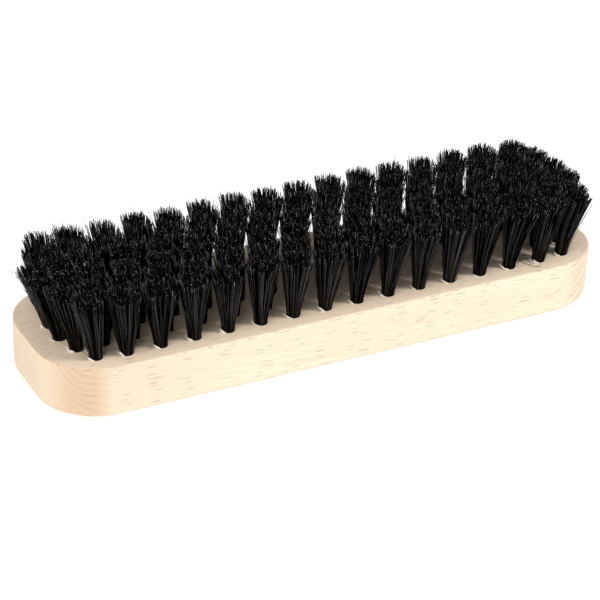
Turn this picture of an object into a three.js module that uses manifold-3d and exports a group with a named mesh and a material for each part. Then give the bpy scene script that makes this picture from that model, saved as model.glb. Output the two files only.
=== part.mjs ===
// A clothes brush: one beech block with blind holes, each filled by a tuft of black bristle.
// A tuft is a bundle folded in a U round a short flat anchor, whose ends bite into the wood.
// Millimetres, +Z up. The origin is the centre of the flat back, which is the face that the
// brush rests on. X runs along the length, and the tufts stand up.
import * as THREE from "three";
import { mergeVertices } from "three/addons/utils/BufferGeometryUtils.js";
import Module from "manifold-3d";

const GAP = 0.3; // clearance between neighbouring pieces

// The block is a slab with rounded corners, a rounded lower edge and a crisp upper one.
const BLOCK_LENGTH = 200;
const BLOCK_WIDTH = 56;
const BLOCK_THICKNESS = 17.7;
const CORNER_RADIUS = 20.6;
const BACK_ROUNDING = 2.2;
const FACE_ROUNDING = 0.5;
const CORNER_STEPS = 10;
const ROUNDING_STEPS = 3;

const HOLE_RADIUS = 2.2;
const HOLE_DEPTH = 12;
const HOLE_BOTTOM = BLOCK_THICKNESS - HOLE_DEPTH;
const SIDES = 8; // of a hole and of a tuft

// A tuft fills its hole, widens above the wood and leans out a little towards the edges.
const SHANK_RADIUS = HOLE_RADIUS - GAP / Math.cos(Math.PI / SIDES);
const TIP_HEIGHT = 38.5;
const TIP_RADIUS = 5.9;
const TIP_ROUNDING = 1.2;
const SPREAD_X = 1.03;
const SPREAD_Y = 1.07;
const END_SPREAD_X = 1.047; // of the tufts past END_X
const END_X = 84;
const CUT_HEIGHT = 23; // neighbouring columns are kept apart above this height

const ANCHOR_LENGTH = 5.2;
const ANCHOR_THICKNESS = 0.5;
const ANCHOR_HEIGHT = 1.6;
const FOLD_THICKNESS = 1.5; // of the bristle that passes under an anchor
const ANCHOR_Z = HOLE_BOTTOM + GAP + FOLD_THICKNESS + ANCHOR_HEIGHT / 2;

// Three rows stand on each side of the long axis. The middle row is half a pitch out of step
// with the other two. At each end the last tufts of a row leave the pitch and follow the
// rounded end of the block.
const PITCH = 11.5;
const ROWS = [
  { name: "outer", y: 20.8, straight: 14, end: [{ x: 84.5, y: 19.6 }] },
  { name: "middle", y: 12.5, straight: 13, end: [{ x: 79.2, y: 12.5 }, { x: 88, y: 12.5 }] },
  { name: "inner", y: 4.1, straight: 14, end: [{ x: 82.5, y: 4.1 }, { x: 90.3, y: 4.1 }] },
];
const COLUMNS = 14;
const RIGHT_END = COLUMNS + 1;

const beech = new THREE.MeshStandardMaterial({ color: 0xead6b8, roughness: 0.62, metalness: 0 });
const bristle = new THREE.MeshStandardMaterial({ color: 0x15161a, roughness: 0.42, metalness: 0 });
const brass = new THREE.MeshStandardMaterial({ color: 0xc8a860, roughness: 0.35, metalness: 1 });

const wasm = await Module();
wasm.setup();

function toSolid(geometry) {
  geometry.deleteAttribute("normal");
  geometry.deleteAttribute("uv");
  const merged = mergeVertices(geometry);
  const vertProperties = merged.attributes.position.array;
  const triVerts = new Uint32Array(merged.index.array);
  return new wasm.Manifold(new wasm.Mesh({ numProp: 3, vertProperties, triVerts }));
}

function toGeometry(solid) {
  const { vertProperties, triVerts } = solid.getMesh();
  const geometry = new THREE.BufferGeometry();
  geometry.setAttribute("position", new THREE.BufferAttribute(vertProperties, 3));
  geometry.setIndex(new THREE.BufferAttribute(triVerts, 1));
  geometry.computeVertexNormals();
  return geometry;
}

// A closed solid through rings with equal numbers of points, from the lowest up.
function loft(rings) {
  const count = rings[0].length;
  const top = (rings.length - 1) * count;
  const faces = [];
  for (let low = 0; low < top; low += count) {
    for (let i = 0; i < count; i++) {
      const next = (i + 1) % count;
      faces.push(low + i, low + next, low + count + next);
      faces.push(low + i, low + count + next, low + count + i);
    }
  }
  for (let i = 1; i + 1 < count; i++) {
    faces.push(0, i + 1, i);
    faces.push(top, top + i, top + i + 1);
  }
  return new THREE.BufferGeometry().setFromPoints(rings.flat()).setIndex(faces);
}

function ring(x, y, z, radius) {
  const points = [];
  for (let i = 0; i < SIDES; i++) {
    const angle = ((i + 0.5) / SIDES) * 2 * Math.PI;
    points.push(new THREE.Vector3(x + radius * Math.cos(angle), y + radius * Math.sin(angle), z));
  }
  return points;
}

// The block's outline at height z, drawn in from its full size by inset.
function outline(z, inset) {
  const cornerX = BLOCK_LENGTH / 2 - CORNER_RADIUS;
  const cornerY = BLOCK_WIDTH / 2 - CORNER_RADIUS;
  const points = [];
  for (const [signX, signY, start] of [[1, 1, 0], [-1, 1, 1], [-1, -1, 2], [1, -1, 3]]) {
    for (let i = 0; i <= CORNER_STEPS; i++) {
      const angle = ((start + i / CORNER_STEPS) * Math.PI) / 2;
      const x = signX * cornerX + (CORNER_RADIUS - inset) * Math.cos(angle);
      const y = signY * cornerY + (CORNER_RADIUS - inset) * Math.sin(angle);
      points.push(new THREE.Vector3(x, y, z));
    }
  }
  return points;
}

function slab() {
  const rings = [];
  for (let i = 0; i <= ROUNDING_STEPS; i++) {
    const angle = ((i / ROUNDING_STEPS) * Math.PI) / 2;
    rings.push(outline(BACK_ROUNDING * (1 - Math.cos(angle)), BACK_ROUNDING * (1 - Math.sin(angle))));
  }
  rings.push(outline(BLOCK_THICKNESS - FACE_ROUNDING, 0));
  rings.push(outline(BLOCK_THICKNESS, FACE_ROUNDING));
  return toSolid(loft(rings));
}

// Every tuft of one row, from left to right. Group 0 is the left end, the columns follow,
// and the last group is the right end.
function rowTufts(row, side) {
  const left = row.end.map(({ x, y }) => ({ x: -x, y })).reverse();
  const straight = [];
  for (let i = 0; i < row.straight; i++) {
    straight.push({ x: (i - (row.straight - 1) / 2) * PITCH, y: row.y });
  }
  return [...left, ...straight, ...row.end].map(({ x, y }, i) => ({
    x,
    y: side * y,
    row: row.name,
    group: Math.min(Math.max(i - row.end.length + 1, 0), RIGHT_END),
  }));
}

// The six rows from front to back.
const rows = [
  ...ROWS.map((row) => rowTufts(row, -1)),
  ...ROWS.toReversed().map((row) => rowTufts(row, 1)),
];
const tufts = rows.flat();
const inOuterRing = (tuft) => tuft.row === "outer" || Math.abs(tuft.x) > END_X;

function tuftSolid({ x, y }) {
  const tipX = x * (Math.abs(x) > END_X ? END_SPREAD_X : SPREAD_X);
  const tipY = y * SPREAD_Y;
  return toSolid(
    loft([
      ring(x, y, HOLE_BOTTOM + GAP, SHANK_RADIUS),
      ring(x, y, BLOCK_THICKNESS, SHANK_RADIUS),
      ring(tipX, tipY, TIP_HEIGHT - TIP_ROUNDING, TIP_RADIUS),
      ring(tipX, tipY, TIP_HEIGHT, TIP_RADIUS - TIP_ROUNDING),
    ]),
  );
}

function holeSolid({ x, y }) {
  const mouth = BLOCK_THICKNESS + 1;
  return toSolid(loft([ring(x, y, HOLE_BOTTOM, HOLE_RADIUS), ring(x, y, mouth, HOLE_RADIUS)]));
}

// The room round an anchor: pockets in the hole's wall and a window through the tuft.
function anchorRoom({ x, y }) {
  const box = new THREE.BoxGeometry(
    ANCHOR_LENGTH + 2 * GAP,
    ANCHOR_THICKNESS + 2 * GAP,
    ANCHOR_HEIGHT + 2 * GAP,
  );
  return toSolid(box.translate(x, y, ANCHOR_Z));
}

// The zigzag line halfway between the tips of a group and those of the group to its right,
// moved sideways by shift.
function border(group, shift) {
  const points = rows.map((row) => {
    const last = row.findLast((tuft) => tuft.group === group);
    const first = row.find((tuft) => tuft.group === group + 1);
    const x = ((last.x + first.x) / 2) * SPREAD_X + shift;
    return new THREE.Vector2(x, last.y * SPREAD_Y);
  });
  const front = new THREE.Vector2(points[0].x, -BLOCK_WIDTH);
  const back = new THREE.Vector2(points.at(-1).x, BLOCK_WIDTH);
  return [front, ...points, back];
}

// Everything above CUT_HEIGHT between a border and a line well past the block's end.
function beyond(line, farX) {
  const front = new THREE.Vector2(farX, -BLOCK_WIDTH);
  const back = new THREE.Vector2(farX, BLOCK_WIDTH);
  const shape = new THREE.Shape([...line, back, front]);
  const depth = TIP_HEIGHT + 1 - CUT_HEIGHT;
  const prism = new THREE.ExtrudeGeometry(shape, { depth, bevelEnabled: false });
  return toSolid(prism.translate(0, 0, CUT_HEIGHT));
}

// The tufts of one group, which meet at their tips.
function groupSolid(group) {
  const members = tufts.filter((tuft) => tuft.group === group);
  let solid = members.map(tuftSolid).reduce((sum, next) => sum.add(next));
  if (group > 0) {
    solid = solid.subtract(beyond(border(group - 1, GAP), -BLOCK_LENGTH));
  }
  if (group < RIGHT_END) {
    solid = solid.subtract(beyond(border(group, -GAP), BLOCK_LENGTH));
  }
  return members
    .filter(inOuterRing)
    .reduce((sum, tuft) => sum.subtract(anchorRoom(tuft)), solid);
}

function blockSolid() {
  const drilled = tufts.reduce((sum, tuft) => sum.subtract(holeSolid(tuft)), slab());
  return tufts
    .filter(inOuterRing)
    .reduce((sum, tuft) => sum.subtract(anchorRoom(tuft)), drilled);
}

function groupName(group) {
  if (group === 0) {
    return "tufts_left_end";
  }
  if (group === RIGHT_END) {
    return "tufts_right_end";
  }
  return "tuft_column_" + String(group).padStart(2, "0");
}

function addMesh(parent, name, geometry, material) {
  const mesh = new THREE.Mesh(geometry, material);
  mesh.name = name;
  parent.add(mesh);
  return mesh;
}

const brush = new THREE.Group();
addMesh(brush, "block", toGeometry(blockSolid()), beech);

for (let group = 0; group <= RIGHT_END; group++) {
  addMesh(brush, groupName(group), toGeometry(groupSolid(group)), bristle);
}

// The anchors of the outer ring. Those of the inner tufts are the same.
const anchorShape = new THREE.BoxGeometry(ANCHOR_LENGTH, ANCHOR_THICKNESS, ANCHOR_HEIGHT);
tufts.filter(inOuterRing).forEach(({ x, y }, i) => {
  const anchor = addMesh(brush, "anchor_" + String(i + 1).padStart(2, "0"), anchorShape, brass);
  anchor.position.set(x, y, ANCHOR_Z);
});

export default brush;
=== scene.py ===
"""The looks of the clothes brush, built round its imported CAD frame. Metres, +Z up."""

import math

import bpy
import numpy as np
from mathutils import Matrix, Vector
from mathutils.geometry import delaunay_2d_cdt


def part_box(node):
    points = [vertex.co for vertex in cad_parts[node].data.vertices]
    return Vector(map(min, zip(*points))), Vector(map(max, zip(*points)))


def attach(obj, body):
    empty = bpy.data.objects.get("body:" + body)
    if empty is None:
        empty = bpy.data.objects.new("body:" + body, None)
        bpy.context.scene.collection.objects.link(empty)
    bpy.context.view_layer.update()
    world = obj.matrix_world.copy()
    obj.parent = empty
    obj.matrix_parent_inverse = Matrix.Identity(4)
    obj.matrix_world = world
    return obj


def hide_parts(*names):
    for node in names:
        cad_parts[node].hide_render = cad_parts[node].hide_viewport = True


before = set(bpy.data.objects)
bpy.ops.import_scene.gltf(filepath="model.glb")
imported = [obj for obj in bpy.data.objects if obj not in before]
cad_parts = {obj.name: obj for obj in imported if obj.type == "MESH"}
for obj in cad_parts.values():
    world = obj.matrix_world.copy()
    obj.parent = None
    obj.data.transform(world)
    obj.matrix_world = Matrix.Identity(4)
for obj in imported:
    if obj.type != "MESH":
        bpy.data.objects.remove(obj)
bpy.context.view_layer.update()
block_low, block_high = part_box("block")
anchor_low, anchor_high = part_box("anchor_01")

MM = 0.001
FACE_Z = block_high.z

# The pattern of the tufts: three rows on each side of the long axis.
PITCH = 11.5 * MM
ROWS = (
    ("outer", 20.8 * MM, 14, ((84.5 * MM, 19.6 * MM),)),
    ("middle", 12.5 * MM, 13, ((79.2 * MM, 12.5 * MM), (88.0 * MM, 12.5 * MM))),
    ("inner", 4.1 * MM, 14, ((82.5 * MM, 4.1 * MM), (90.3 * MM, 4.1 * MM))),
)
COLUMNS = 14
END_X = 84.0 * MM
SPREAD_X = 1.03
END_SPREAD_X = 1.04
SPREAD_Y = 1.07
BACK_SPREAD_Y = 1.1

# The tips of a row press those of the next one aside: how far each row's tips shift along X
# at the middle of the brush, at its left end and at its right end.
SIDEWAYS = {
    "front_outer": (0.1 * MM, -0.4 * MM, -0.2 * MM),
    "front_middle": (-1.1 * MM, -0.8 * MM, 0.0),
    "front_inner": (-3.0 * MM, -1.8 * MM, 0.8 * MM),
    "back_inner": (1.0 * MM, -1.8 * MM, 1.0 * MM),
    "back_middle": (0.4 * MM, 1.0 * MM, 2.0 * MM),
    "back_outer": (0.3 * MM, 1.8 * MM, 2.2 * MM),
}

# The block.
CORNER_RADIUS = 20.6 * MM
CORNER_STEPS = 28
BACK_ROUNDING = 2.2 * MM
BACK_STEPS = 8
FACE_ROUNDING = 0.5 * MM
FACE_STEPS = 4
HOLE_RADIUS = 2.2 * MM
HOLE_DEPTH = 12.0 * MM
HOLE_SIDES = 28
RIM = 0.32 * MM  # width of the torn edge round each hole
RIM_DEPTH = 0.12 * MM

# The hairs of a tuft. Each is folded under the anchor and has two free ends.
HAIRS = 190
HAIR_RADIUS = 0.105 * MM
HAIR_SIDES = 3
FREE_STEPS = 6
SHANK_RADIUS = 2.02 * MM
TIP_RADIUS = (4.7 * MM, 5.7 * MM)
DOME = 0.2 * MM  # by which the outermost hairs of a tuft are lower
TIP_Z = 38.6 * MM
HIGHEST_TIP = 40.0 * MM
CLUMPS = 26
CLUMPING = 0.25
SQUARENESS = 0.35
LEFT_END_X = -70.0 * MM  # past which the tufts are a little fuller
LEFT_FULLNESS = 1.08
GOLDEN_ANGLE = math.pi * (3 - math.sqrt(5))
DISORDER = 0.03  # of hairs and clumps in their tuft, as a share of its radius
CUT_SLANT = 0.9  # of the corners of a cut end, as a share of a hair's radius
THICKNESS_RANGE = (0.78, 1.22)  # of the hairs, as a share of HAIR_RADIUS
TIP_TAPER = 0.8
# Share of the cut ends painted pale grey, as a painted highlight for the glints on the black
# hairs' ends.
PAINTED_HIGHLIGHT_END_CHANCE = 0.13

# How far free ends miss their places, as shares of the tuft's radius at its tip.
TUFT_DRIFT = 0.05
HAIR_SCATTER = 0.045
STRAY_CHANCE = 0.03
STRAY_SCATTER = 0.35
STRAY_LIMIT = 0.4

# How the lengths of hairs differ.
TUFT_HEIGHT_SCATTER = 0.2 * MM
HAIR_HEIGHT_SCATTER = 0.3 * MM
ODD_LENGTH_CHANCE = 0.05
LONGER_BY = (0.3 * MM, 1.4 * MM)
SHORTER_BY = (0.5 * MM, 4.0 * MM)

# A hair rises more steeply near the wood than near its tip.
BEND_AT = 0.36  # share of the way up
BEND_BY = 0.13  # share of the way out
SWAY = 0.15 * MM

# The fold of a tuft under its anchor.
FOLD_DEPTH = 0.42  # share of the distance between the two legs of a hair
FOLD_SHOULDER = 0.7

ANCHOR_STEPS = 4  # in each rounded edge
ANCHOR_ROUNDING = 0.7  # share of half the wire's thickness
ANCHOR_CRUSHED = 0.82  # size of the crushed ends
ANCHOR_CRUSH_FROM = 0.97  # share of half the anchor's length

# The torn fibres at the holes. Angles are in degrees from +X, and lengths in millimetres.
MOST_SPLINTERS = 4  # at one hole
SPLINTER_START = (195, 245)
SPLINTER_SWEEP = (0.4, 1.0)  # radians
SPLINTER_LIFT = (0.4, 1.8)
SPLINTER_GAP = (0.0, 0.2)  # between the rim and the root
SPLINTER_CURL = (0.3, 1.2)  # outwards, away from the hole
SPLINTER_SUNK = 0.04 * MM
SPLINTER_RADIUS = (0.18, 0.38)
SPLINTER_TAPER = (0.5, 1.0, 1.1, 1.0, 0.8, 0.55, 0.2)
SPLINTER_STEPS = len(SPLINTER_TAPER)

# The hairs whose routes are given point by point.
SINGLE_HAIR_STEPS = 14
SINGLE_HAIR_TAPER = 0.7

SHARP_ANGLE = math.radians(35)
MERGE_DISTANCE = 1e-7

rng = np.random.default_rng(11)


# ---------------------------------------------------------------- materials


class Nodes:
    """A material's node tree, with short calls to add and link nodes."""

    def __init__(self, name):
        self.material = bpy.data.materials.new(name)
        self.material.use_nodes = True
        self.tree = self.material.node_tree
        self.shader = self.tree.nodes["Principled BSDF"]

    def add(self, kind, settings=None, **inputs):
        node = self.tree.nodes.new(kind)
        for key, value in (settings or {}).items():
            setattr(node, key, value)
        for key, value in inputs.items():
            self.feed(node.inputs[key.replace("_", " ")], value)
        return node

    def feed(self, socket, value):
        if isinstance(value, bpy.types.NodeSocket):
            self.tree.links.new(value, socket)
        else:
            socket.default_value = value

    def maths(self, operation, *values):
        node = self.tree.nodes.new("ShaderNodeMath")
        node.operation = operation
        for socket, value in zip(node.inputs, values):
            self.feed(socket, value)
        return node.outputs[0]

    def mix(self, share, a, b):
        node = self.tree.nodes.new("ShaderNodeMix")
        node.data_type = "RGBA"
        self.feed(node.inputs["Factor"], share)
        self.feed(node.inputs["A"], a)
        self.feed(node.inputs["B"], b)
        return node.outputs["Result"]

    def split(self, vector):
        node = self.add("ShaderNodeSeparateXYZ")
        self.tree.links.new(vector, node.inputs[0])
        return node.outputs

    def place(self):
        """The object's own coordinates in millimetres."""
        source = self.add("ShaderNodeTexCoord").outputs["Object"]
        node = self.add("ShaderNodeVectorMath", {"operation": "SCALE"}, Scale=1 / MM)
        self.tree.links.new(source, node.inputs[0])
        return node.outputs[0]

    def combined(self, x, y):
        node = self.tree.nodes.new("ShaderNodeCombineXYZ")
        for socket, value in zip(node.inputs, (x, y)):
            self.feed(socket, value)
        return node.outputs[0]

    def noise(self, size, detail=2.0, roughness=0.5):
        """Noise whose grains measure size, in millimetres along each axis."""
        scale = self.add("ShaderNodeVectorMath", {"operation": "DIVIDE"})
        self.tree.links.new(self.place(), scale.inputs[0])
        scale.inputs[1].default_value = size
        node = self.add("ShaderNodeTexNoise", Vector=scale.outputs[0], Scale=1.0)
        node.inputs["Detail"].default_value = detail
        node.inputs["Roughness"].default_value = roughness
        return node.outputs["Fac"]

    def ramp(self, value, low, high, out_low=0.0, out_high=1.0):
        node = self.add("ShaderNodeMapRange", {"interpolation_type": "SMOOTHSTEP"})
        for key, number in (
            ("Value", value),
            ("From Min", low),
            ("From Max", high),
            ("To Min", out_low),
            ("To Max", out_high),
        ):
            self.feed(node.inputs[key], number)
        return node.outputs["Result"]


def colour(r, g, b):
    return (r, g, b, 1.0)


BEECH_PALE = colour(0.80, 0.735, 0.57)
BEECH_PALE_PATCH = colour(0.80, 0.705, 0.535)
BEECH_STREAK = colour(0.73, 0.60, 0.44)
BEECH_END_GRAIN = colour(0.57, 0.36, 0.215)
BEECH_PINK = colour(0.77, 0.605, 0.44)
BEECH_RING = colour(0.60, 0.40, 0.26)
BEECH_FACE = colour(0.86, 0.635, 0.465)
BEECH_FLECK = colour(0.30, 0.235, 0.17)
BEECH_NICK = colour(0.42, 0.31, 0.22)
SPLINTER_PALE = colour(0.96, 0.92, 0.84)
SPLINTER_BROWN = colour(0.78, 0.64, 0.48)
BRASS = colour(0.78, 0.62, 0.32)
BRASS_TARNISHED = colour(0.52, 0.38, 0.18)

# The growth layers of the wood, in millimetres.
LAYER_PERIOD = 2.7
LAYER_SLANT = 0.9
LAYER_DRIFT = 9.0
LAYER_WAVER = 0.9


def ray_flecks(n, along, across, length, thickness, kept):
    """Thin dashes along the grain. kept is the share of the places that have one."""
    point = n.combined(n.maths("DIVIDE", along, length), n.maths("DIVIDE", across, thickness))
    settings = {"feature": "F1", "voronoi_dimensions": "2D"}
    cells = n.add("ShaderNodeTexVoronoi", settings, Vector=point, Scale=1.0)
    kind = n.split(cells.outputs["Color"])
    size = n.maths("MULTIPLY_ADD", kind["Y"], 0.12, 0.10)
    fleck = n.ramp(n.maths("DIVIDE", cells.outputs["Distance"], size), 0.5, 1.05, 1.0, 0.0)
    chosen = n.maths("LESS_THAN", kind["X"], kept)
    strength = n.maths("MULTIPLY_ADD", kind["Z"], 0.5, 0.3)
    return n.maths("MULTIPLY", n.maths("MULTIPLY", fleck, chosen), strength)


def beech_material():
    """Planed beech with growth layers, streaks, dark ray flecks and small nicks."""
    n = Nodes("beech")
    place = n.split(n.place())
    facing = n.split(n.add("ShaderNodeNewGeometry").outputs["Normal"])
    endwise = n.maths("ABSOLUTE", facing["X"])
    upwards = n.maths("ABSOLUTE", facing["Z"])

    # The growth layers lie at a slant across the block and run along it, so they show
    # most where the rounded corners cut them.
    across = n.maths("SUBTRACT", place["Z"], n.maths("MULTIPLY", place["Y"], LAYER_SLANT))
    drift = n.noise((70.0, 14.0, 14.0), detail=1.0)
    waver = n.noise((6.0, 3.0, 3.0), detail=2.0)
    across = n.maths("MULTIPLY_ADD", drift, LAYER_DRIFT, across)
    across = n.maths("MULTIPLY_ADD", waver, LAYER_WAVER, across)
    layer = n.maths("FRACT", n.maths("DIVIDE", across, LAYER_PERIOD))
    late = n.ramp(layer, 0.1, 0.7)
    early = n.ramp(layer, 0.75, 1.0, 1.0, 0.0)
    ring = n.maths("MULTIPLY", late, early)

    # A rounded corner faces partly along the grain.
    corner = n.maths(
        "MULTIPLY", n.ramp(endwise, 0.08, 0.45), n.ramp(endwise, 0.7, 0.97, 1.0, 0.3)
    )
    ring_share = n.maths("MULTIPLY", ring, n.maths("MULTIPLY_ADD", corner, 0.36, 0.06))

    # Pale wood with fine streaks. It is more tan where the corners cut across the grain, and
    # pinker towards the left end.
    streaks = n.noise((30.0, 0.9, 0.9), detail=4.0, roughness=0.62)
    patches = n.noise((55.0, 12.0, 12.0), detail=2.0)
    pale = n.mix(n.ramp(patches, 0.35, 0.65), BEECH_PALE, BEECH_PALE_PATCH)
    base = n.mix(n.ramp(streaks, 0.40, 0.70, 0.0, 0.5), pale, BEECH_STREAK)
    tan_end = n.ramp(place["X"], -90.0, -35.0, 1.0, 0.1)
    base = n.mix(n.maths("MULTIPLY", corner, tan_end), base, BEECH_END_GRAIN)
    pink_end = n.ramp(place["X"], -85.0, -30.0, 0.55, 0.0)
    pink_end = n.maths("MULTIPLY", pink_end, n.ramp(upwards, 0.3, 0.8, 1.0, 0.0))
    base = n.mix(pink_end, base, BEECH_PINK)
    base = n.mix(ring_share, base, BEECH_RING)

    # The face that the tufts stand on is a little darker and pinker than the sides.
    base = n.mix(n.maths("MULTIPLY", upwards, 0.5), base, BEECH_FACE)

    # The cut rays of beech show as short dark flecks along the grain.
    sides = ray_flecks(n, place["X"], place["Z"], 12.0, 0.85, 0.62)
    sides = n.maths("MULTIPLY", sides, n.ramp(endwise, 0.3, 0.8, 1.0, 0.0))
    sides = n.maths("MULTIPLY", sides, n.ramp(upwards, 0.4, 0.7, 1.0, 0.0))
    flats = ray_flecks(n, place["X"], place["Y"], 10.0, 1.3, 0.46)
    flats = n.maths("MULTIPLY", flats, n.ramp(upwards, 0.4, 0.7, 0.0, 0.8))
    fleck = n.maths("MAXIMUM", sides, flats)
    base = n.mix(fleck, base, BEECH_FLECK)

    # Small nicks along the upper edge.
    edge = n.ramp(place["Z"], FACE_Z / MM - 1.1, FACE_Z / MM - 0.5)
    edge = n.maths("MULTIPLY", edge, n.ramp(upwards, 0.75, 0.95, 1.0, 0.0))
    nicks = n.ramp(n.noise((1.3, 1.3, 0.8), detail=1.0), 0.61, 0.66)
    nick = n.maths("MULTIPLY", edge, nicks)
    base = n.mix(n.maths("MULTIPLY", nick, 0.5), base, BEECH_NICK)
    n.feed(n.shader.inputs["Base Color"], base)

    # The pores are fine furrows, and the flecks and nicks are a little deeper.
    n.feed(n.shader.inputs["Roughness"], n.ramp(streaks, 0.2, 0.8, 0.52, 0.68))
    pores = n.noise((3.0, 0.25, 0.25), detail=3.0, roughness=0.65)
    height = n.maths("MULTIPLY", pores, 0.35)
    height = n.maths("SUBTRACT", height, n.maths("MAXIMUM", fleck, nick))
    bump = n.add("ShaderNodeBump", Strength=0.4, Distance=0.08 * MM, Height=height)
    n.feed(n.shader.inputs["Normal"], bump.outputs["Normal"])
    return n.material


def splinter_material():
    """Pale torn fibres of the beech."""
    n = Nodes("beech_splinter")
    fibres = n.noise((0.6, 0.6, 0.3), detail=2.0)
    tone = n.mix(n.ramp(fibres, 0.4, 0.75), SPLINTER_PALE, SPLINTER_BROWN)
    n.feed(n.shader.inputs["Base Color"], tone)
    n.shader.inputs["Roughness"].default_value = 0.75
    return n.material


def hair_material(name, tone, roughness, specular):
    n = Nodes(name)
    n.shader.inputs["Base Color"].default_value = colour(*tone)
    n.shader.inputs["Roughness"].default_value = roughness
    n.shader.inputs["Specular IOR Level"].default_value = specular
    return n.material


# The hairs of a tuft differ in tone and gloss. The last two entries are the share of each kind
# inside a tuft and round its outside. Inside, where only the tips catch light, most hairs are of
# the black and dull kinds: painted shade for the dense middle of a tuft.
HAIR_KINDS = (
    ("bristle_black", (0.0008, 0.0008, 0.0009), 0.60, 0.01, 0.70, 0.36),
    ("bristle_dull", (0.0013, 0.0013, 0.0015), 0.50, 0.10, 0.16, 0.18),
    ("bristle_cool", (0.0016, 0.0019, 0.0028), 0.26, 0.55, 0.06, 0.20),
    ("bristle_warm", (0.0040, 0.0029, 0.0024), 0.34, 0.25, 0.04, 0.08),
    ("bristle_gloss", (0.0018, 0.0019, 0.0022), 0.20, 1.00, 0.04, 0.18),
)
OUTSIDE = 0.8  # share of a tuft's radius past which its hairs count as its outside
CUT_END_PAINTED_HIGHLIGHT = len(HAIR_KINDS)
CUT_END_DARK = len(HAIR_KINDS) + 1


def hair_materials():
    """The kinds of hair, then the two tones of their cut ends: a pale one, which is a painted
    highlight, and a dark one.
    """
    made = [hair_material(*kind[:4]) for kind in HAIR_KINDS]
    # The pale cut end is a painted highlight: the glints on the cut ends of the black hairs,
    # painted on.
    made.append(hair_material("bristle_cut_end", (0.55, 0.56, 0.58), 0.5, 0.5))
    made.append(hair_material("bristle_cut_end_dark", (0.006, 0.006, 0.0065), 0.5, 0.1))
    return made


def brass_material():
    """Flat wire with a patchy tarnish."""
    n = Nodes("anchor_brass")
    tarnish = n.noise((0.7, 0.7, 0.7), detail=3.0)
    tone = n.mix(n.ramp(tarnish, 0.4, 0.7), BRASS, BRASS_TARNISHED)
    n.feed(n.shader.inputs["Base Color"], tone)
    n.feed(n.shader.inputs["Roughness"], n.ramp(tarnish, 0.3, 0.7, 0.28, 0.5))
    n.shader.inputs["Metallic"].default_value = 1.0
    return n.material


def floor_material():
    """A floor that glows a little, so that it comes out white."""
    n = Nodes("studio_floor")
    n.shader.inputs["Base Color"].default_value = colour(0.92, 0.92, 0.92)
    n.shader.inputs["Emission Color"].default_value = colour(1.0, 1.0, 1.0)
    n.shader.inputs["Emission Strength"].default_value = 0.28
    n.shader.inputs["Roughness"].default_value = 0.8
    n.shader.inputs["Specular IOR Level"].default_value = 0.1
    return n.material


# ---------------------------------------------------------------- meshes


def add_piece(name, mesh):
    """A piece of the brush, which rides on its only body."""
    piece = bpy.data.objects.new(name, mesh)
    bpy.context.scene.collection.objects.link(piece)
    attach(piece, "root")
    return piece


def mesh_from_groups(name, points, groups, material_index, flat_faces):
    """A mesh from an array of points and arrays of faces, each with equal numbers of corners."""
    corners = np.concatenate([group.ravel() for group in groups]).astype(np.int32)
    sizes = np.concatenate([np.full(len(group), group.shape[1]) for group in groups])
    starts = np.concatenate([[0], np.cumsum(sizes)[:-1]]).astype(np.int32)
    mesh = bpy.data.meshes.new(name)
    mesh.vertices.add(len(points))
    mesh.vertices.foreach_set("co", points.astype(np.float32).ravel())
    mesh.loops.add(len(corners))
    mesh.loops.foreach_set("vertex_index", corners)
    mesh.polygons.add(len(sizes))
    mesh.polygons.foreach_set("loop_start", starts)
    mesh.polygons.foreach_set("material_index", material_index.astype(np.int32))
    mesh.update(calc_edges=True)
    mesh.polygons.foreach_set("use_smooth", ~flat_faces)
    return mesh


def outline(inset):
    """The block's outline seen from above, drawn in by inset, as an array of x and y."""
    corner_x = block_high.x - CORNER_RADIUS
    corner_y = block_high.y - CORNER_RADIUS
    points = []
    for quarter, (sign_x, sign_y) in enumerate(((1, 1), (-1, 1), (-1, -1), (1, -1))):
        for i in range(CORNER_STEPS + 1):
            angle = (quarter + i / CORNER_STEPS) * math.pi / 2
            x = sign_x * corner_x + (CORNER_RADIUS - inset) * math.cos(angle)
            y = sign_y * corner_y + (CORNER_RADIUS - inset) * math.sin(angle)
            points.append((x, y))
    return np.array(points)


def profile():
    """Height and inset of each ring of the block's side, from the back up."""
    rings = []
    for i in range(BACK_STEPS + 1):
        angle = i / BACK_STEPS * math.pi / 2
        height = BACK_ROUNDING * (1 - math.cos(angle))
        rings.append((height, BACK_ROUNDING * (1 - math.sin(angle))))
    for i in range(FACE_STEPS + 1):
        angle = i / FACE_STEPS * math.pi / 2
        height = FACE_Z - FACE_ROUNDING * (1 - math.sin(angle))
        rings.append((height, FACE_ROUNDING * (1 - math.cos(angle))))
    return rings


def face_triangles(points, loops, tufts):
    """Triangles that fill the upper face inside the first loop and between the others."""
    flat = [i for loop in loops for i in loop]
    plan = [Vector(points[i][:2]) for i in flat]
    edges = []
    start = 0
    for loop in loops:
        count = len(loop)
        edges += [(start + i, start + (i + 1) % count) for i in range(count)]
        start += count
    _, _, triangles, origin, _, _ = delaunay_2d_cdt(plan, edges, [], 1, MERGE_DISTANCE)
    centres = np.array([tuft["base"] for tuft in tufts])
    kept = []
    for triangle in triangles:
        corners = [flat[origin[i][0]] for i in triangle]
        middle = np.mean([points[i][:2] for i in corners], axis=0)
        if np.min(np.hypot(*(centres - middle).T)) > HOLE_RADIUS + RIM / 2:
            kept.append(tuple(corners))
    return kept


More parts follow.
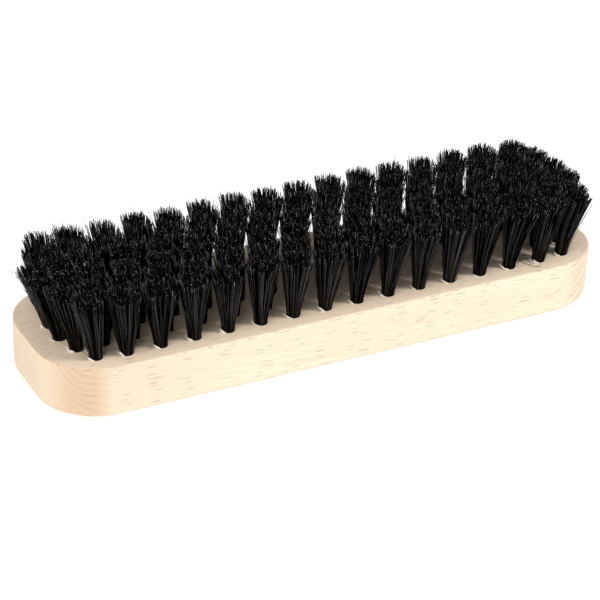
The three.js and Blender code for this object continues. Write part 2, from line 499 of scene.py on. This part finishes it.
def block_mesh(tufts):
    """The block with its holes. The torn edges of the holes have a material of their own."""
    points = []
    faces = []

    def add_ring(xy, z):
        start = len(points)
        points.extend((x, y, z) for x, y in xy)
        return list(range(start, len(points)))

    def bridge(low, high):
        count = len(low)
        for i in range(count):
            j = (i + 1) % count
            faces.append((low[i], low[j], high[j], high[i]))

    rings = [add_ring(outline(inset), z) for z, inset in profile()]
    for low, high in zip(rings, rings[1:]):
        bridge(low, high)
    faces.append(tuple(reversed(rings[0])))

    angles = np.arange(HOLE_SIDES) / HOLE_SIDES * 2 * math.pi
    circle = np.stack([np.cos(angles), np.sin(angles)], axis=1)
    rims = []
    torn = []
    for tuft in tufts:
        centre = np.array(tuft["base"])
        rim = add_ring(centre + (HOLE_RADIUS + RIM) * circle, FACE_Z)
        edge = add_ring(centre + HOLE_RADIUS * circle, FACE_Z - RIM_DEPTH)
        floor = add_ring(centre + HOLE_RADIUS * circle, FACE_Z - HOLE_DEPTH)
        torn.extend(range(len(faces), len(faces) + HOLE_SIDES))
        bridge(rim, edge)
        bridge(edge, floor)
        faces.append(tuple(floor))
        rims.append(rim)

    faces += face_triangles(points, [rings[-1], *rims], tufts)
    mesh = bpy.data.meshes.new("block_wood")
    mesh.from_pydata(points, [], faces)
    for face in torn:
        mesh.polygons[face].material_index = 1
    mesh.shade_smooth()
    mesh.set_sharp_from_angle(angle=SHARP_ANGLE)
    return mesh


def hair_mesh(name, paths, radii, kinds, end_kinds, aside=(1.0, 0.0, 0.0)):
    """Closed hairs with cut ends. paths is hairs x steps x 3 and radii is hairs x steps.

    kinds and end_kinds, hairs x 2, give the materials of both halves of each hair and of
    its two ends. No hair may run along aside, from which its cross-section is worked out.
    """
    count, steps, _ = paths.shape
    along = np.gradient(paths, axis=1)
    along /= np.linalg.norm(along, axis=2, keepdims=True)
    first = np.cross(along, np.broadcast_to(aside, along.shape))
    first /= np.linalg.norm(first, axis=2, keepdims=True)
    second = np.cross(along, first)
    turn = rng.uniform(0, 2 * math.pi, (count, 1, 1))
    slant = rng.uniform(-CUT_SLANT, CUT_SLANT, (count, 2, HAIR_SIDES)) * HAIR_RADIUS
    rings = []
    for side in range(HAIR_SIDES):
        angle = turn + side / HAIR_SIDES * 2 * math.pi
        ring = paths + radii[..., None] * (np.cos(angle) * first + np.sin(angle) * second)
        ring[:, 0] += slant[:, 0, side, None] * along[:, 0]
        ring[:, -1] += slant[:, 1, side, None] * along[:, -1]
        rings.append(ring)
    points = np.stack(rings, axis=2).reshape(-1, 3)

    start = (np.arange(count) * steps * HAIR_SIDES)[:, None, None]
    step = (np.arange(steps - 1) * HAIR_SIDES)[None, :, None]
    side = np.arange(HAIR_SIDES)[None, None, :]
    after = (side + 1) % HAIR_SIDES
    low = start + step
    quads = np.stack(
        [low + side, low + after, low + after + HAIR_SIDES, low + side + HAIR_SIDES], axis=-1
    ).reshape(-1, 4)
    ends = start[:, 0] + np.arange(HAIR_SIDES)
    near = ends[:, ::-1]
    far = ends + (steps - 1) * HAIR_SIDES
    half = np.arange(steps - 1) * 2 // (steps - 1)
    material_index = np.concatenate(
        [np.repeat(kinds[:, half].ravel(), HAIR_SIDES), end_kinds[:, 0], end_kinds[:, 1]]
    )
    flat_faces = np.arange(len(material_index)) >= len(quads)
    return mesh_from_groups(name, points, [quads, near, far], material_index, flat_faces)


def unit_disc(count):
    """Points spread evenly over a disc of radius 1, with a little disorder."""
    index = np.arange(count) + 0.5
    radius = np.sqrt(index / count)
    angle = index * GOLDEN_ANGLE + rng.uniform(0, 2 * math.pi)
    spread = np.stack([radius * np.cos(angle), radius * np.sin(angle)], axis=1)
    return spread + rng.normal(0, DISORDER, (count, 2))


def clumped(spread):
    """The same points, each drawn towards the nearest of a few clumps."""
    centres = unit_disc(CLUMPS)
    away = np.linalg.norm(spread[:, None] - centres[None], axis=2)
    nearest = centres[np.argmin(away, axis=1)]
    return spread + CLUMPING * (nearest - spread)


def squared(spread, squareness):
    """The same points, spread out towards the corners of a square."""
    return spread * (1 + squareness * spread[:, ::-1] ** 2)


def free_paths(base, tip, tip_radius, squareness, spread):
    """The free part of each end of hair, from the wood's face to its tip."""
    count = len(spread)
    roots = base + SHANK_RADIUS * spread
    drift = rng.normal(0, TUFT_DRIFT, (1, 2))
    scatter = rng.normal(0, HAIR_SCATTER, (count, 2))
    strays = rng.random((count, 1)) < STRAY_CHANCE
    stray = np.clip(strays * rng.normal(0, STRAY_SCATTER, (count, 2)), -STRAY_LIMIT, STRAY_LIMIT)
    tips = tip + tip_radius * (squared(clumped(spread), squareness) + drift + scatter + stray)

    tip_z = TIP_Z + rng.normal(0, TUFT_HEIGHT_SCATTER) + rng.normal(0, HAIR_HEIGHT_SCATTER, count)
    tip_z -= DOME * np.sum(spread**2, axis=1)
    longer = rng.random(count) < ODD_LENGTH_CHANCE
    tip_z += longer * rng.uniform(*LONGER_BY, count)
    shorter = rng.random(count) < ODD_LENGTH_CHANCE
    tip_z -= shorter * rng.uniform(*SHORTER_BY, count)
    tip_z = np.minimum(tip_z, HIGHEST_TIP)

    start = np.column_stack([roots, np.full(count, FACE_Z)])[:, None]
    end = np.column_stack([tips, tip_z])[:, None]
    bend = start + BEND_AT * (end - start)
    bend[..., :2] -= BEND_BY * (end - start)[..., :2]
    t = np.linspace(0, 1, FREE_STEPS)[None, :, None]
    paths = (1 - t) ** 2 * start + 2 * t * (1 - t) * bend + t**2 * end
    sway = rng.normal(0, SWAY, (count, 1, 3))
    sway[..., 2] = 0
    return paths + sway * np.sin(math.pi * t)


def tuft_mesh(name, base, tip, tip_radius, squareness):
    """One tuft: hairs folded in a U under the anchor, which spread from the hole to their tips."""
    spread = unit_disc(2 * HAIRS)
    order = np.argsort(spread[:, 1])
    before = order[:HAIRS]
    behind = order[HAIRS:]
    before = before[np.argsort(spread[before, 0])]
    behind = behind[np.argsort(spread[behind, 0])]
    free = free_paths(base, tip, tip_radius, squareness, spread)

    # Each hair passes on both sides of the anchor and turns under it.
    beside = SHANK_RADIUS * spread
    clear = (anchor_high.y - anchor_low.y) / 2 + HAIR_RADIUS
    left = np.minimum(beside[before, 1], -clear)
    right = np.maximum(beside[behind, 1], clear)
    fold = FOLD_DEPTH * (right - left)
    lowest = anchor_low.z - HAIR_RADIUS
    middle_x = (beside[before, 0] + beside[behind, 0]) / 2

    def inside(x, y, z):
        return np.column_stack([base[0] + x, base[1] + y, np.broadcast_to(z, x.shape)])

    turn = np.stack(
        [
            inside(beside[before, 0], left, lowest),
            inside(middle_x, FOLD_SHOULDER * left, lowest - FOLD_SHOULDER * fold),
            inside(middle_x, (left + right) / 2, lowest - fold),
            inside(middle_x, FOLD_SHOULDER * right, lowest - FOLD_SHOULDER * fold),
            inside(beside[behind, 0], right, lowest),
        ],
        axis=1,
    )
    paths = np.concatenate([free[before][:, ::-1], turn, free[behind]], axis=1)
    thick = HAIR_RADIUS * rng.uniform(*THICKNESS_RANGE, (HAIRS, 1))
    taper = np.linspace(TIP_TAPER, 1.0, FREE_STEPS)
    along = np.concatenate([taper, np.ones(turn.shape[1]), taper[::-1]])
    ends = np.column_stack([before, behind])
    # Hairs inside the tuft are mostly of the black and dull kinds, as painted shade for its dense
    # middle.
    inner = rng.choice(len(HAIR_KINDS), ends.shape, p=[kind[-2] for kind in HAIR_KINDS])
    outer = rng.choice(len(HAIR_KINDS), ends.shape, p=[kind[-1] for kind in HAIR_KINDS])
    kinds = np.where(np.linalg.norm(spread, axis=1)[ends] > OUTSIDE, outer, inner)
    # Some cut ends get the pale tone, a painted highlight for their glints.
    pale = rng.random((HAIRS, 2)) < PAINTED_HIGHLIGHT_END_CHANCE
    end_kinds = np.where(pale, CUT_END_PAINTED_HIGHLIGHT, CUT_END_DARK)
    return hair_mesh(name, paths, thick * along[None], kinds, end_kinds)


def anchor_mesh(name, x, y):
    """A short flat wire with rounded edges and slightly crushed ends."""
    half_length = (anchor_high.x - anchor_low.x) / 2
    half_thick = (anchor_high.y - anchor_low.y) / 2
    half_tall = (anchor_high.z - anchor_low.z) / 2
    middle_z = (anchor_high.z + anchor_low.z) / 2
    rounding = ANCHOR_ROUNDING * half_thick
    section = []
    for quarter, (sign_y, sign_z) in enumerate(((1, 1), (-1, 1), (-1, -1), (1, -1))):
        for i in range(ANCHOR_STEPS + 1):
            angle = (quarter + i / ANCHOR_STEPS) * math.pi / 2
            section.append(
                (
                    sign_y * (half_thick - rounding) + rounding * math.cos(angle),
                    sign_z * (half_tall - rounding) + rounding * math.sin(angle),
                )
            )
    section = np.array(section)
    count = len(section)
    points = []
    for offset, scale in (
        (-1.0, ANCHOR_CRUSHED),
        (-ANCHOR_CRUSH_FROM, 1.0),
        (ANCHOR_CRUSH_FROM, 1.0),
        (1.0, ANCHOR_CRUSHED),
    ):
        for side, up in section * scale:
            points.append((x + offset * half_length, y + side, middle_z + up))
    faces = []
    for ring in range(3):
        for i in range(count):
            j = (i + 1) % count
            low = ring * count
            faces.append((low + i, low + j, low + count + j, low + count + i))
    faces.append(tuple(reversed(range(count))))
    faces.append(tuple(range(3 * count, 4 * count)))
    mesh = bpy.data.meshes.new(name)
    mesh.from_pydata(points, [], faces)
    mesh.shade_smooth()
    mesh.set_sharp_from_angle(angle=SHARP_ANGLE)
    return mesh


def smooth_path(points, steps):
    """A smooth curve through points, as an array of steps places."""
    points = np.array(points) * MM
    padded = np.vstack([2 * points[0] - points[1], points, 2 * points[-1] - points[-2]])
    places = []
    for t in np.linspace(0, len(points) - 1, steps):
        i = min(int(t), len(points) - 2)
        f = t - i
        a, b, c, d = padded[i : i + 4]
        squares = (2 * a - 5 * b + 4 * c - d) * f**2
        cubes = (3 * b - a - 3 * c + d) * f**3
        places.append(0.5 * (2 * b + (c - a) * f + squares + cubes))
    return np.array(places)


def splinter_paths(tufts):
    """Torn fibres that curl up from the front and the left of each hole's rim."""
    paths = []
    for tuft in tufts:
        for _ in range(rng.integers(1, MOST_SPLINTERS + 1)):
            start = math.radians(rng.uniform(*SPLINTER_START))
            sweep = -rng.uniform(*SPLINTER_SWEEP)
            lift = rng.uniform(*SPLINTER_LIFT) * MM
            t = np.linspace(0, 1, SPLINTER_STEPS)
            angle = start + sweep * t
            root = HOLE_RADIUS + RIM + rng.uniform(*SPLINTER_GAP) * MM
            radius = root + rng.uniform(*SPLINTER_CURL) * MM * t**2
            path = np.column_stack(
                [
                    tuft["base"][0] + radius * np.cos(angle),
                    tuft["base"][1] + radius * np.sin(angle),
                    FACE_Z - SPLINTER_SUNK + lift * t**1.5,
                ]
            )
            paths.append(path)
    return np.array(paths)


# ---------------------------------------------------------------- the brush


def row_tufts(name, y, straight, ends, side):
    """Every tuft of one row from left to right, with the CAD node that it is part of."""
    left = [(-x, row_y) for x, row_y in reversed(ends)]
    middle = [((i - (straight - 1) / 2) * PITCH, y) for i in range(straight)]
    row = ("front_" if side < 0 else "back_") + name
    tufts = []
    for i, (x, row_y) in enumerate([*left, *middle, *ends]):
        group = min(max(i - len(ends) + 1, 0), COLUMNS + 1)
        node = f"tuft_column_{group:02d}"
        if group == 0:
            node = "tufts_left_end"
        if group == COLUMNS + 1:
            node = "tufts_right_end"
        past_end = abs(x) > END_X
        spread_x = END_SPREAD_X if past_end else SPREAD_X
        spread_y = SPREAD_Y if side < 0 else BACK_SPREAD_Y
        share = max(0.0, 1 - (x / END_X) ** 4)
        at_middle, at_left, at_right = SIDEWAYS[row]
        shift = at_middle * share + (at_left if x < 0 else at_right) * (1 - share)
        tufts.append(
            {
                "place": f"{row}_{i + 1:02d}",
                "base": (x, side * row_y),
                "tip": (x * spread_x + shift, side * row_y * spread_y),
                "squareness": 0.0 if past_end else SQUARENESS,
                "node": node,
                "in_outer_ring": name == "outer" or past_end,
            }
        )
    return tufts


def all_tufts():
    """The tufts of the six rows, from the front row to the back one."""
    found = []
    for side, rows in ((-1, ROWS), (1, ROWS[::-1])):
        for name, y, straight, ends in rows:
            found += row_tufts(name, y, straight, ends, side)
    return found


def add_tufts(tufts):
    """Each tuft is a piece, and the CAD node that it is part of is hidden."""
    materials = hair_materials()
    for tuft in tufts:
        name = "tuft_" + tuft["place"]
        base = np.array(tuft["base"])
        tip_radius = np.array(TIP_RADIUS) * (LEFT_FULLNESS if base[0] < LEFT_END_X else 1.0)
        mesh = tuft_mesh(name, base, np.array(tuft["tip"]), tip_radius, tuft["squareness"])
        for material in materials:
            mesh.materials.append(material)
        piece = add_piece(name, mesh)
        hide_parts(tuft["node"])


def add_anchors(tufts):
    """One anchor under each tuft. The CAD model holds those of the outer ring."""
    brass = brass_material()
    modelled = 0
    for tuft in tufts:
        mesh = anchor_mesh("anchor_" + tuft["place"], *tuft["base"])
        mesh.materials.append(brass)
        piece = add_piece("anchor_" + tuft["place"], mesh)
        if tuft["in_outer_ring"]:
            modelled += 1
            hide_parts(f"anchor_{modelled:02d}")


def add_splinters(tufts, material):
    """All the torn fibres, as one piece."""
    paths = splinter_paths(tufts)
    count = len(paths)
    radii = rng.uniform(*SPLINTER_RADIUS, (count, 1)) * MM * np.array(SPLINTER_TAPER)[None]
    only = np.zeros((count, 2), dtype=int)
    mesh = hair_mesh("rim_splinters", paths, radii, only, only, (0.0, 0.0, 1.0))
    mesh.materials.append(material)
    add_piece("rim_splinters", mesh)


# Hairs that leave their tufts, as points in millimetres from the root up.
STRAY_HAIRS = (
    ((-91.6, 4.1, 17.7), (-94.4, 5.5, 26.0), (-97.7, 3.6, 33.7), (-101.9, 8.9, 38.0)),
    ((-91.6, 4.9, 17.7), (-94.5, 6.9, 26.0), (-96.8, 8.0, 31.5), (-99.0, 8.5, 37.0)),
    ((-63.6, -21.6, 17.7), (-65.3, -20.6, 22.0), (-67.2, -18.0, 25.8), (-70.2, -19.0, 30.0)),
    ((76.2, -22.0, 17.7), (75.7, -22.8, 26.0), (73.6, -23.8, 32.0), (69.9, -24.2, 37.8)),
    ((-52.6, -21.8, 17.7), (-54.4, -23.2, 25.0), (-57.6, -24.2, 31.0), (-61.0, -24.4, 36.2)),
    ((-83.2, -21.0, 17.7), (-82.4, -23.2, 24.0), (-82.5, -24.5, 30.0), (-82.7, -25.4, 35.8)),
    ((-86.4, -20.6, 17.7), (-91.0, -21.3, 24.0), (-94.4, -21.6, 28.5), (-97.6, -22.2, 31.6)),
    ((-81.0, 20.4, 17.7), (-80.9, 22.4, 28.0), (-80.4, 24.9, 35.0), (-79.4, 27.9, 40.4)),
    ((-67.4, 20.4, 17.7), (-67.8, 22.4, 28.0), (-68.3, 24.6, 35.0), (-69.4, 27.0, 40.0)),
)
# Cut hairs that lie on the wood.
LOOSE_HAIRS = (
    ((67.0, -20.3, 17.9), (69.9, -18.9, 17.95), (72.4, -19.2, 18.0), (73.2, -18.4, 17.9)),
    ((68.3, -19.0, 18.0), (69.2, -21.6, 17.9), (70.8, -24.7, 17.9), (73.0, -25.6, 17.85)),
)


def add_single_hairs(name, routes, aside):
    """Hairs that follow the points given for them."""
    paths = np.array([smooth_path(points, SINGLE_HAIR_STEPS) for points in routes])
    count = len(paths)
    taper = np.linspace(1.0, SINGLE_HAIR_TAPER, SINGLE_HAIR_STEPS)
    radii = np.full((count, SINGLE_HAIR_STEPS), HAIR_RADIUS) * taper[None]
    kinds = np.column_stack([np.arange(count) % len(HAIR_KINDS)] * 2)
    end_kinds = np.full((count, 2), CUT_END_DARK)
    mesh = hair_mesh(name, paths, radii, kinds, end_kinds, aside)
    for material in hair_materials():
        mesh.materials.append(material)
    add_piece(name, mesh)


tufts = all_tufts()

block = add_piece("beech_block", block_mesh(tufts))
torn_beech = splinter_material()
block.data.materials.append(beech_material())
block.data.materials.append(torn_beech)
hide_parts("block")
add_tufts(tufts)
add_anchors(tufts)
add_splinters(tufts, torn_beech)
add_single_hairs("stray_hairs", STRAY_HAIRS, (1.0, 0.0, 0.0))
add_single_hairs("loose_hairs", LOOSE_HAIRS, (0.0, 0.0, 1.0))


# ---------------------------------------------------------------- studio


FLOOR_SIZE = 6.0
CAMERA_TARGET = Vector((-3.9, 0.0, 9.3)) * MM
CAMERA_AZIMUTH = -28.06  # degrees, 0 in front of the brush
CAMERA_ELEVATION = 29.35
CAMERA_ROLL = 2.07
CAMERA_DISTANCE = 740.6 * MM
CAMERA_LENS = 134.7
CAMERA_SENSOR = 36.0


def add_floor():
    """A square floor at the height of the block's back."""
    half = FLOOR_SIZE / 2
    mesh = bpy.data.meshes.new("floor")
    corners = [(-half, -half, 0), (half, -half, 0), (half, half, 0), (-half, half, 0)]
    mesh.from_pydata(corners, [], [(0, 1, 2, 3)])
    mesh.materials.append(floor_material())
    floor = bpy.data.objects.new("floor", mesh)
    bpy.context.scene.collection.objects.link(floor)


def add_area_light(name, azimuth, elevation, distance, size, power):
    """A soft disc light. Azimuth 0 is in front of the brush and 90 to its right."""
    data = bpy.data.lights.new(name, "AREA")
    data.shape = "DISK"
    data.size = size
    data.energy = power
    light = bpy.data.objects.new(name, data)
    turn = math.radians(azimuth)
    rise = math.radians(elevation)
    away = Vector(
        (math.sin(turn) * math.cos(rise), -math.cos(turn) * math.cos(rise), math.sin(rise))
    )
    target = Vector((0.0, 0.0, FACE_Z))
    light.location = target + distance * away
    light.rotation_euler = (-away).to_track_quat("-Z", "Y").to_euler()
    bpy.context.scene.collection.objects.link(light)


def add_world(strength, seen_strength):
    """Even light from all round. The camera sees it as bright as the far end of the floor."""
    world = bpy.data.worlds.new("studio")
    world.use_nodes = True
    nodes = world.node_tree.nodes
    links = world.node_tree.links
    background = nodes["Background"]
    background.inputs["Color"].default_value = colour(1.0, 1.0, 1.0)
    seen = nodes.new("ShaderNodeLightPath").outputs["Is Camera Ray"]
    shown = nodes.new("ShaderNodeMapRange")
    shown.inputs["To Min"].default_value = strength
    shown.inputs["To Max"].default_value = seen_strength
    links.new(seen, shown.inputs["Value"])
    links.new(shown.outputs["Result"], background.inputs["Strength"])
    bpy.context.scene.world = world


def add_camera():
    """The camera, in front of the brush and to its left, a little above it."""
    azimuth = math.radians(CAMERA_AZIMUTH)
    elevation = math.radians(CAMERA_ELEVATION)
    roll = math.radians(CAMERA_ROLL)
    back = Vector(
        (
            math.sin(azimuth) * math.cos(elevation),
            -math.cos(azimuth) * math.cos(elevation),
            math.sin(elevation),
        )
    )
    level = Vector((math.cos(azimuth), math.sin(azimuth), 0.0))
    upright = back.cross(level)
    right = math.cos(roll) * level + math.sin(roll) * upright
    up = math.cos(roll) * upright - math.sin(roll) * level
    data = bpy.data.cameras.new("camera")
    data.lens = CAMERA_LENS
    data.sensor_width = CAMERA_SENSOR
    data.clip_start = 0.01
    camera = bpy.data.objects.new("camera", data)
    turn = Matrix((right, up, back)).transposed().to_4x4()
    camera.matrix_world = Matrix.Translation(CAMERA_TARGET + back * CAMERA_DISTANCE) @ turn
    bpy.context.scene.collection.objects.link(camera)
    bpy.context.scene.camera = camera


add_floor()
add_area_light("key", azimuth=50, elevation=40, distance=1.1, size=0.28, power=6.0)
add_area_light("fill", azimuth=-66, elevation=40, distance=1.2, size=1.1, power=9.5)
add_world(0.44, 0.68)
add_camera()
bpy.context.scene.view_settings.view_transform = "Standard"
